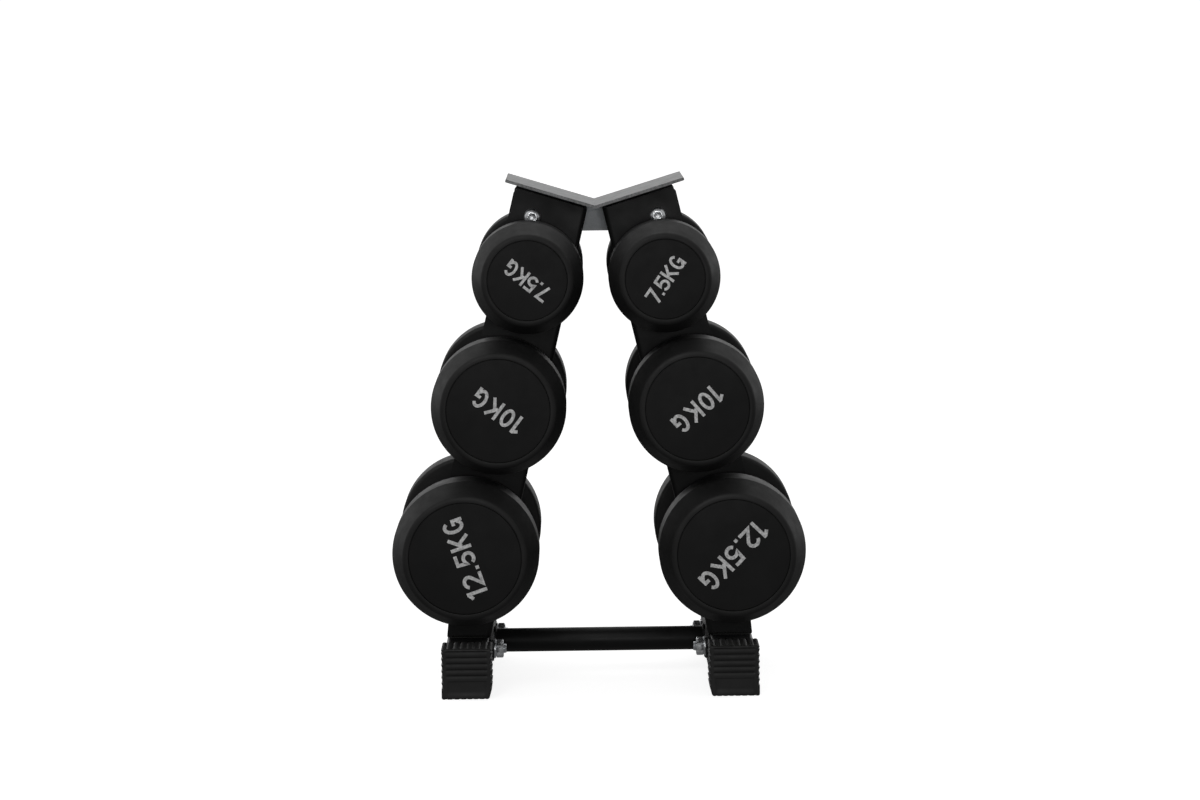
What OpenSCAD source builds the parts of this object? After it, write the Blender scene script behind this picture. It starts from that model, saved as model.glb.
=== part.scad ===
// Compact A-frame dumbbell rack with three pairs of round-head dumbbells.
// Two leaning steel channels stand on rubber-shod base tubes. A crossbar ties their
// feet and a V-shaped plate bracket ties their tops. Open cradles cut in the outer
// edges hold one dumbbell each by its handle.
// Origin: on the floor, midway between the four feet. X across, Y to the back, Z up.

/* [Uprights] */
// Lean of each upright from the vertical, in degrees
lean = 13.4; // [12.6:0.1:14]
// Distance of the line of handles from the middle plane, at floor height
line_x = 171.7; // [168:0.1:176]
// Distance from the line of handles in to the closed back of the channel
upright_inner = 44.5; // [42:0.5:47]
// Distance from the line of handles out to the open edge of the channel
upright_outer = 33; // [30:0.5:36]
// Depth of the channel from its front face to its rear face
upright_depth = 78; // [72:1:82]
// Thickness of the folded sheet of the uprights and the bracket
sheet = 3; // [2:0.5:3.5]
// Outside radius of the folds in the uprights
fold_r = 5; // [4:0.5:6]

/* [Cradles] */
// Direction in which a dumbbell lifts out, in degrees above the horizontal
lift_angle = 25; // [20:1:27]
// Gap between a handle and the round seat of its cradle
seat_gap = 0.4; // [0.3:0.1:0.6]
// Radius on the lower lip of each cradle
lip_r = 6; // [3:1:8]
// Radius on the upper corner of each cradle mouth
mouth_r = 4; // [2:1:6]
// Height at which the open edge starts to run in towards the base tube
trim_z = 118; // [112:1:122]

/* [Base] */
// Width and height of the square base tubes
tube_w = 45; // [44:0.5:46]
// Wall of the base tubes
tube_wall = 2.5; // [2:0.5:3]
// Length of the base tubes from front to back
tube_len = 214; // [210:1:220]
// Distance of each base tube's middle from the middle plane
tube_x = 137; // [136.5:0.1:137.5]
// Height of the underside of the base tubes above the floor
tube_lift = 5; // [4:0.5:6]
// Width of a rubber boot
boot_w = 52; // [51:0.5:53]
// Length of a rubber boot along its tube
boot_len = 38; // [34:1:40]
// Height of a rubber boot
boot_h = 52.5; // [52:0.5:54]
// Thickness of a boot's end wall
boot_end = 3; // [2:0.5:4]

/* [Crossbar] */
// Diameter of the crossbar
bar_d = 25; // [22:0.5:26]
// Wall of the crossbar
bar_wall = 2; // [1.5:0.5:3]
// Height of the crossbar's centre line above the floor
bar_z = 38.5; // [37:0.5:39]
// Thickness of the flange at each end of the crossbar
flange_t = 4; // [3:0.5:5]
// Length of each flange along its base tube
flange_len = 112; // [108:1:116]
// Height of each flange
flange_h = 22; // [20:0.5:22]
// Distance between the two bolts of a flange
flange_pitch = 84; // [80:1:88]

/* [Top bracket] */
// Half of the width of the V plate
plate_reach = 91.5; // [88:0.5:95]
// Depth of the V plate from front to back
plate_depth = 118; // [110:1:124]
// Height of the V plate's underside at its lowest point
apex_z = 497.6; // [496:0.1:499]
// Slope of each wing of the V plate, in degrees
wing_angle = 17; // [16:0.5:18]
// Gap between the V plate and the tops of the uprights
top_gap = 3.8; // [3:0.1:4.5]
// Height of the tie plate's lower edge
tie_z = 468; // [464:0.5:470]
// Half of the width of the tie plate
tie_reach = 80; // [78:0.5:82]
// Distance of the top bolts from the middle plane
top_bolt_x = 64.4; // [62:0.2:66]
// Height of the top bolts
top_bolt_z = 488.5; // [487:0.5:490]

/* [Dumbbells] */
// Height of the handle of each upper dumbbell
upper_z = 431; // [430:0.5:432]
// Height of the handle of each middle dumbbell
middle_z = 300; // [299:0.5:301]
// Height of the handle of each lower dumbbell
lower_z = 150; // [149:0.5:151]
// Head diameter of the upper dumbbells
upper_head_d = 113; // [110:0.5:114]
// Head diameter of the middle dumbbells
middle_head_d = 137.5; // [134:0.5:138]
// Head diameter of the lower dumbbells
lower_head_d = 150; // [146:0.5:151]
// Diameter of the inset end disc of the upper dumbbells
upper_disc_d = 80; // [76:0.5:82]
// Diameter of the inset end disc of the middle dumbbells
middle_disc_d = 104.5; // [100:0.5:106]
// Diameter of the inset end disc of the lower dumbbells
lower_disc_d = 114; // [110:0.5:116]
// Width of the iron core in each upper head
upper_core_w = 54; // [48:1:55]
// Width of the iron core in each middle head
middle_core_w = 49; // [44:1:55]
// Width of the iron core in each lower head
lower_core_w = 52; // [48:1:55]
// Diameter of the handles
grip_d = 32; // [28:0.5:32]
// Bare length of each handle between its heads
grip_len = 128; // [124:1:132]
// Width of each head along the handle
head_w = 66; // [64:1:68]
// Width of the tapered shoulder on the outer side of each head
shoulder_w = 28; // [24:1:30]

/* [Hidden] */
$fn = 96;
arc_steps = 8;
SIDES = ["left", "right"];
TIERS = ["upper", "middle", "lower"];
ENDS = ["front", "rear"];
DUMBBELL_PARTS = ["handle", "iron_cores", "front_head", "rear_head", "end_discs"];

// Derived sizes of the frame
tube_top = tube_lift + tube_w;
slot_r = grip_d / 2 + seat_gap;
line_dir = [cos(lean), sin(lean)];
lift_dir = [cos(lift_angle), sin(lift_angle)];
lift_normal = [-sin(lift_angle), cos(lift_angle)];
wall_in_x = tube_x - tube_w / 2 + tube_wall;
flange_in_x = tube_x - tube_w / 2 - flange_t;
wing_rise = tan(wing_angle);
upright_len = 560;
beyond = 200;
cut = 1;
corner_cut = [2.5, 5];
ankle = [2, 20];
trim_r = 30;
tube_r = 4;
edge_r = 2;
plate_r = 4;

// Derived sizes of the dumbbells, one entry for each tier
handle_z = [upper_z, middle_z, lower_z];
head_r = [upper_head_d, middle_head_d, lower_head_d] / 2;
disc_r = [upper_disc_d, middle_disc_d, lower_disc_d] / 2;
core_w = [upper_core_w, middle_core_w, lower_core_w];
disc_t = 2.5;
disc_inset = 0.8;
disc_gap = 0.5;
face_ring = 5;
core_cover = 6;
core_end = 6;
stub_r = 12.5;
wall_w = head_w - shoulder_w;

// M10 fasteners: the base bolts have smaller heads, which fit inside the base tubes
bolt_r = 5;
bolt_hole_r = 5.25;
top_head_r = 8.75;
base_head_r = 8;
head_h = 5.5;
key_r = 3.5;
washer_r = 10;
washer_t = 2;
nut_r = 9.8;
nut_h = 8;
spacer_r = 8;
thread_end = 3;
thread_slack = 0.05;

// Corner b of an outline, between points a and c, as an arc of radius r
function corner(a, b, c, r) =
    let (
        to_a = (a - b) / norm(a - b),
        to_c = (c - b) / norm(c - b),
        half = acos(to_a * to_c) / 2,
        middle = (to_a + to_c) / norm(to_a + to_c),
        centre = b + middle * r / sin(half),
        first = b + to_a * r / tan(half) - centre,
        turn = (180 - 2 * half) * sign(cross(b - a, c - b))
    )
    r == 0 ? [b] : [
        for (i = [0 : arc_steps])
            let (a = atan2(first.y, first.x) + turn * i / arc_steps)
            centre + r * [cos(a), sin(a)]
    ];

// Outline through points, with corner i rounded to radii[i]
function rounded(points, radii) =
    let (n = len(points))
    [for (i = [0 : n - 1]) each corner(points[(i + n - 1) % n], points[i], points[(i + 1) % n], radii[i])];

function rectangle(w, h) = [[-w, -h], [w, -h], [w, h], [-w, h]] / 2;

// A point at height z, at an offset square to the line of handles; positive is outward
function on_line(offset, z) = [line_x + offset / cos(lean) - z * tan(lean), z];

// Where a ray from p along the lifting direction meets the upright's open edge
function at_open_edge(p) =
    p + lift_dir * (upright_outer - (p - [line_x, 0]) * line_dir) / (lift_dir * line_dir);

// Underside of the V plate at distance x from the middle
function plate_z(x) = apex_z + abs(x) * wing_rise;

// Repeats its children on the left, as a mirror image of the right
module on_side(side) {
    mirror([side == "left" ? 1 : 0, 0, 0]) children();
}

module on_end(end) {
    mirror([0, end == "rear" ? 1 : 0, 0]) children();
}

module on_both_sides() {
    for (side = SIDES) on_side(side) children();
}

// An outline drawn in X and Z, given depth along Y from y0 to y1
module upright_slab(y0, y1) {
    translate([0, y1, 0]) rotate([90, 0, 0]) linear_extrude(y1 - y0) children();
}

// Turns a shape made along Z so that it points along +Y, or along +X
module along_y() {
    rotate([-90, 0, 0]) children();
}

module along_x() {
    rotate([0, 90, 0]) children();
}

module ring(outer_r, inner_r, h) {
    difference() {
        cylinder(r = outer_r, h = h);
        translate([0, 0, -cut]) cylinder(r = inner_r, h = h + 2 * cut);
    }
}

module hex_nut() {
    difference() {
        cylinder(r = nut_r, h = nut_h, $fn = 6);
        translate([0, 0, -cut]) cylinder(r = bolt_r, h = nut_h + 2 * cut);
    }
}

// Button-head socket screw: the head's flat underside is at 0 and the shank points along +Z
module button_bolt(head_r, shank_len) {
    rim_h = head_h * 0.3;
    crown_r = head_r * 0.55;
    key_depth = head_h * 0.55;
    crown = [[0, 0], [head_r, 0], [head_r, -rim_h], [crown_r, -head_h], [0, -head_h]];
    difference() {
        union() {
            rotate_extrude() polygon(rounded(crown, [0, 0, 1, 3, 0]));
            cylinder(r = bolt_r - thread_slack, h = shank_len);
        }
        translate([0, 0, -head_h - cut]) cylinder(r = key_r, h = key_depth + cut, $fn = 6);
    }
}

// ---------------------------------------------------------------- uprights

// Side face of the right upright, with its three cradles, drawn in X and Z
function upright_outline() = rounded(upright_corners(), upright_radii());

function upright_corners() = concat(
    [
        on_line(-upright_inner, tube_top),
        [tube_x + tube_w / 2, tube_top],
        [tube_x + tube_w / 2 - ankle.x, tube_top + ankle.y],
        on_line(upright_outer, trim_z)
    ],
    [
        for (i = [2, 1, 0])
            let (
                seat = on_line(0, handle_z[i]),
                low = seat - lift_normal * slot_r,
                high = seat + lift_normal * slot_r
            )
            each [at_open_edge(low), low, high, at_open_edge(high)]
    ],
    [
        on_line(upright_outer, top_z(outer_top_x) - corner_cut.y),
        [outer_top_x - corner_cut.x, top_z(outer_top_x - corner_cut.x)],
        [inner_top_x, top_z(inner_top_x)]
    ]
);

function upright_radii() = concat(
    [0, edge_r, trim_r / 2, trim_r],
    [for (i = [0 : 2]) each [lip_r, 0, 0, mouth_r]],
    [edge_r, edge_r, edge_r]
);

function top_z(x) = plate_z(x) - top_gap;

// Where the sloping top meets the lines at the two edges of the upright
function top_corner_x(offset) =
    (line_x + offset / cos(lean) - (apex_z - top_gap) * tan(lean)) / (1 + wing_rise * tan(lean));
outer_top_x = top_corner_x(upright_outer);
inner_top_x = top_corner_x(-upright_inner);

// Cross-section of the folded channel, square to its length: X outward, Y front to back
module channel_section() {
    inside = upright_depth - 2 * sheet;
    depth_out = upright_inner + beyond;
    difference() {
        translate([depth_out / 2 - upright_inner, 0])
            polygon(rounded(rectangle(depth_out, upright_depth), [fold_r, 0, 0, fold_r]));
        translate([depth_out / 2 - upright_inner + sheet, 0])
            polygon(rounded(rectangle(depth_out, inside), [fold_r - sheet, 0, 0, fold_r - sheet]));
    }
}

module upright(side) {
    color("#232325") on_side(side) difference() {
        intersection() {
            upright_slab(-upright_depth / 2, upright_depth / 2) polygon(upright_outline());
            translate([line_x, 0, 0]) rotate([0, -lean, 0]) linear_extrude(upright_len) channel_section();
        }
        for (z = handle_z)
            translate([on_line(0, z).x, -upright_depth, z])
                along_y() cylinder(r = slot_r, h = 2 * upright_depth);
        translate([top_bolt_x, -upright_depth, top_bolt_z])
            along_y() cylinder(r = bolt_hole_r, h = 2 * upright_depth);
    }
}

// ---------------------------------------------------------------- base

function tube_outline(w, r) = rounded(rectangle(w, w), [r, r, r, r]);

module base_tube(side) {
    bore_w = tube_w - 2 * tube_wall;
    color("#1f1f21") on_side(side) difference() {
        translate([tube_x, 0, tube_lift + tube_w / 2])
            upright_slab(-tube_len / 2, tube_len / 2) difference() {
                polygon(tube_outline(tube_w, tube_r));
                polygon(tube_outline(bore_w, tube_r - tube_wall));
            }
        for (y = [-1, 1] * flange_pitch / 2)
            translate([wall_in_x - tube_wall - cut, y, bar_z])
                along_x() cylinder(r = bolt_hole_r, h = tube_wall + 2 * cut);
    }
}

// Outline of the front right boot seen from the front: its inner side runs in at the foot
function boot_outline() =
    let (a = tube_x - boot_w / 2, b = tube_x + boot_w / 2, foot_z = 12, brow_z = boot_h - 9, inner_run = 3.5)
    rounded(
        [[a + inner_run, 0], [b - 0.5, 0], [b, foot_z], [b, brow_z],
         [b - edge_r, boot_h], [a + edge_r, boot_h], [a, brow_z], [a, foot_z]],
        [edge_r, edge_r, 2 * edge_r, 2 * edge_r, edge_r, edge_r, 2 * edge_r, 2 * edge_r]
    );

// Grooves moulded in a boot: across its end face, and along its sides and top to its open end
module boot_grooves() {
    row_pitch = 6.3;
    rib_pitch = 7;
    depth = 1.2;
    groove_w = 1.6;
    margin = 4;
    lip = 2.2;
    end_rows = 5;
    side_rows = 7;
    end_y = -tube_len / 2 - boot_end;
    for (i = [0 : end_rows - 1])
        translate([tube_x - boot_w / 2 + margin, end_y - depth, boot_h - lip - row_pitch * i - groove_w])
            cube([boot_w - 2 * margin, 2 * depth, groove_w]);
    for (i = [0 : side_rows - 1], x = [-1, 1] * boot_w / 2)
        translate([tube_x + x - depth, end_y + margin, boot_h - lip - row_pitch * i - groove_w])
            cube([2 * depth, boot_len, groove_w]);
    for (i = [-3 : 3])
        translate([tube_x + rib_pitch * i - groove_w / 2, end_y + margin, boot_h - depth])
            cube([groove_w, boot_len, 2 * depth]);
}

module boot(side, end) {
    front = -tube_len / 2 - boot_end;
    color("#2c2c2e") on_side(side) on_end(end) difference() {
        upright_slab(front, front + boot_len) polygon(boot_outline());
        translate([tube_x, 0, tube_lift + tube_w / 2])
            upright_slab(-tube_len / 2, 0) polygon(tube_outline(tube_w, tube_r));
        boot_grooves();
    }
}

// ---------------------------------------------------------------- crossbar

module crossbar() {
    color("#1f1f21") translate([-flange_in_x, 0, bar_z]) along_x()
        ring(bar_d / 2, bar_d / 2 - bar_wall, 2 * flange_in_x);
}

module bar_flange(side) {
    color("#1f1f21") on_side(side) difference() {
        translate([flange_in_x, 0, bar_z]) along_x() linear_extrude(flange_t)
            polygon(rounded(rectangle(flange_h, flange_len), [fold_r, fold_r, fold_r, fold_r]));
        for (y = [-1, 1] * flange_pitch / 2)
            translate([flange_in_x - cut, y, bar_z])
                along_x() cylinder(r = bolt_hole_r, h = flange_t + 2 * cut);
    }
}

// Repeats its children at the four base bolts, with +Z pointing in towards the middle
module at_base_bolts(x) {
    on_both_sides() for (y = [-1, 1] * flange_pitch / 2)
        translate([x, y, bar_z]) rotate([0, -90, 0]) children();
}

// Bolts put through from inside the base tubes, so that nothing stands out of their outer sides
module base_bolts() {
    color("silver") at_base_bolts(wall_in_x)
        button_bolt(base_head_r, tube_wall + flange_t + washer_t + nut_h + thread_end);
}

module base_washers() {
    color("silver") at_base_bolts(flange_in_x) ring(washer_r, bolt_hole_r, washer_t);
}

module base_nuts() {
    color("silver") at_base_bolts(flange_in_x - washer_t) hex_nut();
}

// ---------------------------------------------------------------- top bracket

// The bent plate seen from the front: two wings rising from a rounded fold
function v_plate_outline() =
    let (
        tip = [plate_reach, plate_z(plate_reach)],
        tip_r = 0.6,
        up = sheet * [-sin(wing_angle), cos(wing_angle)]
    )
    rounded(
        [[-tip.x, tip.y], [0, apex_z], tip, tip + up, [0, apex_z + sheet / cos(wing_angle)],
         [-tip.x - up.x, tip.y + up.y]],
        [tip_r, fold_r, tip_r, tip_r, fold_r - sheet, tip_r]
    );

module v_plate() {
    color("#8e8f92") intersection() {
        upright_slab(-plate_depth / 2, plate_depth / 2) polygon(v_plate_outline());
        translate([0, 0, apex_z - beyond / 2]) linear_extrude(beyond)
            polygon(rounded(rectangle(2 * plate_reach, plate_depth), [plate_r, plate_r, plate_r, plate_r]));
    }
}

// Vertical plate welded under the V plate, behind the rear faces of the uprights
module tie_plate() {
    half = tie_reach;
    y0 = upright_depth / 2;
    color("#8a9097") difference() {
        upright_slab(y0, y0 + sheet) polygon(rounded(
            [[-half, tie_z], [half, tie_z], [half, plate_z(half)], [0, apex_z], [-half, plate_z(half)]],
            [plate_r, plate_r, 0, 0, 0]
        ));
        for (x = [-1, 1] * top_bolt_x)
            translate([x, y0 - cut, top_bolt_z]) along_y() cylinder(r = bolt_hole_r, h = sheet + 2 * cut);
    }
}

// Repeats its children at the two top bolts, with +Z pointing to the back
module at_top_bolts(y) {
    for (x = [-1, 1] * top_bolt_x) translate([x, y, top_bolt_z]) along_y() children();
}

module top_bolts() {
    color("silver") at_top_bolts(-upright_depth / 2)
        button_bolt(top_head_r, upright_depth + sheet + washer_t + nut_h + thread_end);
}

module top_washers() {
    color("silver") at_top_bolts(upright_depth / 2 + sheet) ring(washer_r, bolt_hole_r, washer_t);
}

// Tubes inside the channels, so that the through-bolts can't squeeze the side faces together
module top_spacers() {
    color("gray") at_top_bolts(-upright_depth / 2 + sheet)
        ring(spacer_r, bolt_hole_r, upright_depth - 2 * sheet);
}

module top_nuts() {
    color("silver") at_top_bolts(upright_depth / 2 + sheet + washer_t) hex_nut();
}

// ---------------------------------------------------------------- dumbbells

// Repeats its children at a dumbbell's place in the rack, mirrored to its left or right
module at_cradle(side, i) {
    on_side(side) translate([on_line(0, handle_z[i]).x, 0, handle_z[i]]) children();
}

// Turns a shape of revolution whose axis starts at a head's inner face along +Z
module at_head(end) {
    on_end(end) translate([0, -grip_len / 2, 0]) rotate([90, 0, 0]) children();
}

// Steel bar with a thick grip and a thinner stub pressed into each core
module handle() {
    stub_len = head_w - core_end;
    grip = [
        [0, -stub_len], [stub_r, -stub_len], [stub_r, 0], [grip_d / 2, 0],
        [grip_d / 2, grip_len], [stub_r, grip_len], [stub_r, grip_len + stub_len], [0, grip_len + stub_len]
    ];
    color("#b4b6b9") translate([0, -grip_len / 2, 0]) along_y()
        rotate_extrude() polygon(rounded(grip, [0, 1, 0, 0, 0, 0, 1, 0]));
}

// Solid of revolution of one iron core, tapered at its outer end like the head around it
module core_blank(i) {
    r = head_r[i] - core_cover;
    high = head_w - core_end;
    low = high - core_w[i];
    taper_r = disc_r[i] + edge_r;
    rotate_extrude() polygon([[0, low], [r, low], [r, wall_w - edge_r], [taper_r, high], [0, high]]);
}

// Both iron cores of a dumbbell, bored for the handle
module iron_cores(i) {
    color("#4a4a4c") for (end = ENDS) at_head(end) difference() {
        core_blank(i);
        cylinder(r = stub_r, h = head_w);
    }
}

// Moulded rubber head: straight wall, tapered shoulder, flat face ring and a recess for its disc
module head(i, end) {
    r = head_r[i];
    recess_r = disc_r[i] + disc_gap;
    ring_r = recess_r + face_ring;
    profile = [
        [0, 0], [r, 0], [r, wall_w], [r - 1, wall_w + 4],
        [ring_r + 2, head_w - 3], [ring_r, head_w], [0, head_w]
    ];
    color("#262628") at_head(end) difference() {
        rotate_extrude($fn = 128) polygon(rounded(profile, [0, 4, 2, 2, 3, 2, 0]));
        core_blank(i);
        translate([0, 0, -cut]) cylinder(r = stub_r, h = head_w / 2);
        translate([0, 0, head_w - disc_inset - disc_t]) cylinder(r = recess_r, h = disc_t + disc_inset + cut);
    }
}

// The inset discs that close both ends of a dumbbell
module end_discs(i) {
    color("#1c1c1e") for (end = ENDS) at_head(end)
        translate([0, 0, head_w - disc_inset - disc_t]) cylinder(r = disc_r[i], h = disc_t);
}

// ---------------------------------------------------------------- assembly

crossbar();
v_plate();
tie_plate();
top_bolts();
top_washers();
top_spacers();
top_nuts();
base_bolts();
base_washers();
base_nuts();
for (side = SIDES) {
    upright(side);
    base_tube(side);
    bar_flange(side);
    for (end = ENDS)
        boot(side, end);
    for (i = [0 : 2]) {
        name = str(side, "_", TIERS[i], "_");
        at_cradle(side, i) handle();
        at_cradle(side, i) iron_cores(i);
        at_cradle(side, i) head(i, "front");
        at_cradle(side, i) head(i, "rear");
        at_cradle(side, i) end_discs(i);
    }
}
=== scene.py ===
"""Looks of the dumbbell rack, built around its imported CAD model. Sizes are in metres."""

import math
import random

import bpy
from mathutils import Matrix, Vector


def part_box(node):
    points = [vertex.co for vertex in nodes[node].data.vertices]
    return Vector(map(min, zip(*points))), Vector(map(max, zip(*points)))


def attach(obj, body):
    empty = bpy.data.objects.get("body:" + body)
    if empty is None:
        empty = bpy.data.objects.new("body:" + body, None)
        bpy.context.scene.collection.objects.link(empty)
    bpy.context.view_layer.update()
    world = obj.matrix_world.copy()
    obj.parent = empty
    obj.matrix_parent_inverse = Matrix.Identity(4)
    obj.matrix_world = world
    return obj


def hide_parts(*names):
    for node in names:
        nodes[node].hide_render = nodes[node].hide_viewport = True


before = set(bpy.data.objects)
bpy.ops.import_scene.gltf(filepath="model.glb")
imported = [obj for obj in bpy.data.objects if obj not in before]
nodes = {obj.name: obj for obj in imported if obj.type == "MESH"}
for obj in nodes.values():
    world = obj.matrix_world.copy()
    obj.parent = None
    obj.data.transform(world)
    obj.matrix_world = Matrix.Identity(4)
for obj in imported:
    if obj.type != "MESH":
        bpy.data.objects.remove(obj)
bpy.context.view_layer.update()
MM = 0.001
SIDES = {"left": -1, "right": 1}
ENDS = {"front": -1, "rear": 1}
TIERS = ("upper", "middle", "lower")


# ---------------------------------------------------------------- outlines and meshes


def arc_corner(a, b, c, radius, steps):
    """Corner b of an outline, between points a and c, as an arc."""
    if radius == 0:
        return [b]
    to_a, to_c = (a - b).normalized(), (c - b).normalized()
    half = math.acos(max(-1, min(1, to_a.dot(to_c)))) / 2
    centre = b + (to_a + to_c).normalized() * (radius / math.sin(half))
    first = b + to_a * (radius / math.tan(half)) - centre
    turn = (math.pi - 2 * half) * math.copysign(1, (b - a).cross(c - b))
    start = math.atan2(first.y, first.x)
    angles = [start + turn * i / steps for i in range(steps + 1)]
    return [centre + radius * Vector((math.cos(t), math.sin(t))) for t in angles]


def rounded(corners, steps=6, closed=True):
    """Outline through corners, each given as (x, y, radius)."""
    points = [Vector((x, y)) for x, y, _ in corners]
    n = len(points)
    outline = []
    for i, (_, _, radius) in enumerate(corners):
        if not closed and i in (0, n - 1):
            outline.append(points[i])
            continue
        outline += arc_corner(points[i - 1], points[i], points[(i + 1) % n], radius, steps)
    return outline


def make_object(name, verts, faces, material, smooth=35):
    """A mesh object whose edges sharper than the given angle, in degrees, stay crisp."""
    mesh = bpy.data.meshes.new(name)
    mesh.from_pydata([tuple(v) for v in verts], [], faces)
    mesh.validate()
    mesh.shade_smooth()
    mesh.set_sharp_from_angle(angle=math.radians(smooth))
    mesh.materials.append(material)
    piece = bpy.data.objects.new(name, mesh)
    bpy.context.scene.collection.objects.link(piece)
    return piece


def placed(verts, origin, axis):
    """Points made around +Z, moved to origin and turned so that +Z points along axis."""
    turn = Vector(axis).to_track_quat("Z", "Y").to_matrix()
    return [turn @ Vector(v) + Vector(origin) for v in verts]


def ring_mesh(rings, segments, loop=False):
    """Surface through rings around +Z. A ring is (radius, height, shape), where shape is "round" or "hex";
    a radius of 0 is a pole. A loop joins the last ring to the first."""
    verts, faces, starts = [], [], []
    for radius, height, shape in rings:
        starts.append(len(verts))
        if radius == 0:
            verts.append((0, 0, height))
            continue
        for k in range(segments):
            angle = 2 * math.pi * k / segments
            r = radius
            if shape == "hex":
                r = radius / math.cos((angle + math.pi / 6) % (math.pi / 3) - math.pi / 6)
            verts.append((r * math.cos(angle), r * math.sin(angle), height))
    pairs = list(zip(range(len(rings) - 1), range(1, len(rings))))
    if loop:
        pairs.append((len(rings) - 1, 0))
    for a, b in pairs:
        pole_a, pole_b = rings[a][0] == 0, rings[b][0] == 0
        for k in range(segments):
            m = (k + 1) % segments
            if pole_a and pole_b:
                continue
            if pole_a:
                faces.append((starts[a], starts[b] + k, starts[b] + m))
            elif pole_b:
                faces.append((starts[a] + m, starts[a] + k, starts[b]))
            else:
                faces.append((starts[a] + k, starts[b] + k, starts[b] + m, starts[a] + m))
    return verts, [tuple(reversed(f)) for f in faces]


def turned(profile):
    """Rings of a plain turned shape, from (radius, height) points."""
    return [(max(p[0], 0), p[1], "round") for p in profile]


def join_meshes(parts):
    """Several (verts, faces) pairs as one."""
    verts, faces = [], []
    for part_verts, part_faces in parts:
        faces += [tuple(i + len(verts) for i in f) for f in part_faces]
        verts += list(part_verts)
    return verts, faces


# ---------------------------------------------------------------- materials


class Graph:
    """A small helper for writing a Principled material's nodes in a few lines."""

    def __init__(self, name):
        self.material = bpy.data.materials.new(name)
        self.material.use_nodes = True
        self.tree = self.material.node_tree
        self.shader = self.tree.nodes["Principled BSDF"]
        self.place = self.tree.nodes.new("ShaderNodeTexCoord").outputs["Object"]

    def link(self, source, socket):
        self.tree.links.new(source, socket)

    def stretched(self, scale):
        node = self.tree.nodes.new("ShaderNodeMapping")
        node.inputs["Scale"].default_value = scale
        self.link(self.place, node.inputs["Vector"])
        return node.outputs["Vector"]

    def noise(self, scale, detail=3, rough=0.55, place=None):
        node = self.tree.nodes.new("ShaderNodeTexNoise")
        node.inputs["Scale"].default_value = scale
        node.inputs["Detail"].default_value = detail
        node.inputs["Roughness"].default_value = rough
        self.link(place or self.place, node.inputs["Vector"])
        return node.outputs["Fac"]

    def cells(self, scale, feature="F1"):
        node = self.tree.nodes.new("ShaderNodeTexVoronoi")
        node.feature = feature
        node.inputs["Scale"].default_value = scale
        self.link(self.place, node.inputs["Vector"])
        return node.outputs["Distance"]

    def fit(self, value, low, high, to_low, to_high):
        node = self.tree.nodes.new("ShaderNodeMapRange")
        self.link(value, node.inputs["Value"])
        for key, number in zip(("From Min", "From Max", "To Min", "To Max"), (low, high, to_low, to_high)):
            node.inputs[key].default_value = number
        return node.outputs["Result"]

    def combine(self, kind, a, b):
        node = self.tree.nodes.new("ShaderNodeMath")
        node.operation = kind
        for socket, value in zip(node.inputs, (a, b)):
            if isinstance(value, (int, float)):
                socket.default_value = value
            else:
                self.link(value, socket)
        return node.outputs["Value"]

    def blend(self, factor, dark, light):
        node = self.tree.nodes.new("ShaderNodeMix")
        node.data_type = "RGBA"
        self.link(factor, node.inputs["Factor"])
        colours = [s for s in node.inputs if s.type == "RGBA"]
        for socket, value in zip(colours, (dark, light)):
            if isinstance(value, (tuple, list)):
                socket.default_value = (*value, 1)
            else:
                self.link(value, socket)
        return [s for s in node.outputs if s.type == "RGBA"][0]

    def attribute(self, name):
        node = self.tree.nodes.new("ShaderNodeAttribute")
        node.attribute_name = name
        return node.outputs["Fac"]

    def bump(self, height, depth, strength=1.0, under=None):
        """Bump of a real depth in metres, over an earlier bump if one is given."""
        node = self.tree.nodes.new("ShaderNodeBump")
        node.inputs["Distance"].default_value = depth
        node.inputs["Strength"].default_value = strength
        self.link(height, node.inputs["Height"])
        if under is not None:
            self.link(under, node.inputs["Normal"])
        return node.outputs["Normal"]

    def done(self, colour, rough, normal, metal=0.0, specular=0.5):
        self.link(colour, self.shader.inputs["Base Color"])
        self.link(rough, self.shader.inputs["Roughness"])
        self.link(normal, self.shader.inputs["Normal"])
        self.shader.inputs["Metallic"].default_value = metal
        self.shader.inputs["Specular IOR Level"].default_value = specular
        return self.material


def grey(level, tint=0.0):
    """A neutral colour, bluer where tint is positive."""
    return (level * (1 - tint), level, level * (1 + tint))


def powder_coat(name, dark, light):
    """Satin powder coat: orange-peel surface with a faint haze of dust and handling marks."""
    g = Graph(name)
    haze = g.fit(g.noise(9, 4), 0.35, 0.7, 0, 1)
    rubs = g.fit(g.noise(60, 5, 0.65, g.stretched((1, 1, 0.25))), 0.55, 0.75, 0, 0.6)
    colour = g.blend(g.combine("MAXIMUM", haze, rubs), dark, light)
    rough = g.fit(g.noise(35, 4), 0.3, 0.7, 0.36, 0.52)
    peel = g.bump(g.noise(650, 2, 0.4), 0.00012, 0.5)
    return g.done(colour, rough, g.bump(g.noise(2600, 1), 0.00004, 0.4, peel), specular=0.22)


def hammertone(name, dark, light):
    """Grey hammered paint: shallow cells a few millimetres wide with a metallic fleck."""
    g = Graph(name)
    fleck = g.fit(g.noise(520, 4, 0.75), 0.38, 0.62, 0, 1)
    cloud = g.fit(g.noise(70, 5, 0.65), 0.35, 0.65, 0, 1)
    mixed = g.combine("ADD", g.combine("MULTIPLY", fleck, 0.6), g.combine("MULTIPLY", cloud, 0.4))
    colour = g.blend(mixed, dark, light)
    rough = g.fit(fleck, 0, 1, 0.38, 0.55)
    dents = g.bump(g.cells(420, "SMOOTH_F1"), 0.0003, 0.4)
    return g.done(colour, rough, g.bump(g.noise(1500, 2), 0.00006, 0.5, dents), metal=0.1, specular=0.4)


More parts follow.
